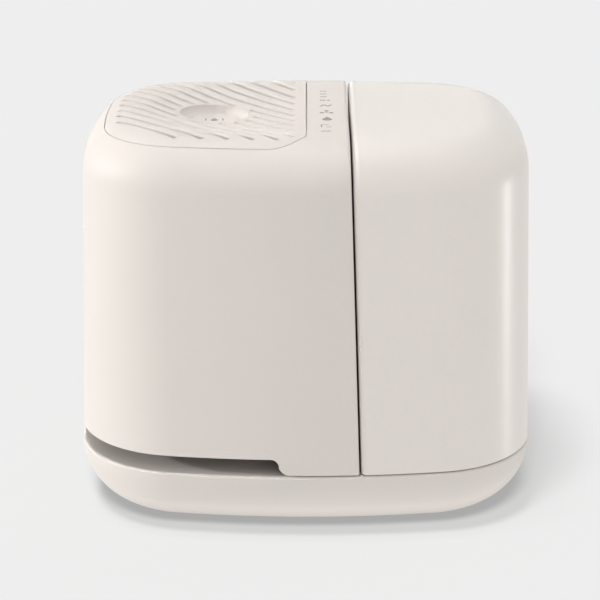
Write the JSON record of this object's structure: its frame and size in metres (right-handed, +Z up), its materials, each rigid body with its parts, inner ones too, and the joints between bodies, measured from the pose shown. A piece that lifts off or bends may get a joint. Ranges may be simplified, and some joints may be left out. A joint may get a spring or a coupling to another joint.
{
  "type": "cool mist humidifier",
  "caption": "Evaporative cool mist humidifier: fan housing with a slotted vent grille and a lift-off water tank, side by side on a rounded base.",
  "frame": {"origin": "centre of the footprint on the surface that it stands on", "axes": "+Z up, -Y front, +X towards the water tank"},
  "size_m": [0.27, 0.196, 0.236],
  "materials": {
    "cream_matte": "warm off-white ABS, fine matt moulded texture",
    "cream_gloss": "warm off-white plastic, satin to gloss",
    "white_plastic": "plain white moulded plastic",
    "rubber_grey": "soft grey silicone rubber",
    "steel": "zinc plated steel",
    "motor_steel": "drawn steel can",
    "brass_sleeve": "sintered bronze sleeve",
    "fan_black": "black glass-filled nylon",
    "board_green": "solder mask on glass-epoxy board",
    "led_clear": "milky light-guide plastic",
    "filter_paper": "pleated wicking paper",
    "puck_ceramic": "unglazed porous ceramic",
    "magnet_dark": "sintered ferrite ring"
  },
  "bodies": {
    "base": {"base_tray": "cream_matte", "bottom_plate": "cream_matte", "base_feet": "rubber_grey", "bottom_screws": "steel", "valve_pin": "white_plastic", "filter_bottom_ring": "white_plastic", "filter_media": "filter_paper", "filter_top_ring": "white_plastic", "filter_gasket": "rubber_grey", "float_post": "white_plastic"},
    "level_float": {"level_float": "white_plastic", "float_magnet": "magnet_dark"},
    "housing": {"housing_shell": "cream_matte", "housing_pads": "rubber_grey", "fan_deck": "cream_matte", "deck_screws": "steel", "motor_bracket": "fan_black", "fan_motor": "motor_steel", "motor_bearings": "brass_sleeve", "bracket_screws": "steel", "control_board": "board_green", "board_screws": "steel", "status_leds": "led_clear", "light_guide": "led_clear", "uv_board": "board_green", "uv_lamps": "led_clear", "uv_bracket": "white_plastic", "button_switch": "fan_black", "switch_posts": "white_plastic", "dc_jack": "fan_black"},
    "fan": {"fan_impeller": "fan_black", "fan_shaft": "steel"},
    "power_button": {"power_button": "cream_gloss"},
    "grille": {"vent_grille": "cream_matte"},
    "aroma_puck": {"aroma_puck": "puck_ceramic"},
    "tank": {"tank_shell": "cream_gloss", "tank_floor": "cream_gloss", "tank_pads": "rubber_grey"},
    "tank_cap": {"tank_cap": "white_plastic", "cap_seal": "rubber_grey", "valve_spring": "steel"},
    "valve": {"valve_plunger": "white_plastic", "valve_seal": "rubber_grey"}
  },
  "joints": [
    {"name": "housing_lift", "type": "slide", "parent": "base", "child": "housing", "axis": [0, 0, 1], "range_m": [0, 0.1]},
    {"name": "tank_lift", "type": "slide", "parent": "housing", "child": "tank", "axis": [0, 0, 1], "range_m": [0, 0.12]},
    {"name": "fan_spin", "type": "hinge", "parent": "housing", "child": "fan", "pos_m": [-0.054, 0, 0.14], "axis": [0, 0, 1], "continuous": true},
    {"name": "power_press", "type": "slide", "parent": "housing", "child": "power_button", "axis": [0, -1, 0], "range_m": [0, 0.0012], "stiffness_N_per_m": 1200},
    {"name": "grille_lift", "type": "slide", "parent": "housing", "child": "grille", "axis": [0, 0, 1], "range_m": [0, 0.04]},
    {"name": "puck_lift", "type": "slide", "parent": "grille", "child": "aroma_puck", "axis": [0, 0, 1], "range_m": [0, 0.02]},
    {"name": "cap_twist", "type": "hinge", "parent": "tank", "child": "tank_cap", "pos_m": [0.08, 0, 0.03], "axis": [0, 0, 1], "range_deg": [0, 60]},
    {"name": "valve_stroke", "type": "slide", "parent": "tank_cap", "child": "valve", "axis": [0, 0, 1], "range_m": [-0.003, 0], "deforming": ["valve_spring"]},
    {"name": "float_rise", "type": "slide", "parent": "base", "child": "level_float", "axis": [0, 0, 1], "range_m": [0, 0.01]}
  ],
  "couplings": [
    {"joint": "valve_stroke", "follows": "tank_lift", "ratio": -0.025}
  ]
}
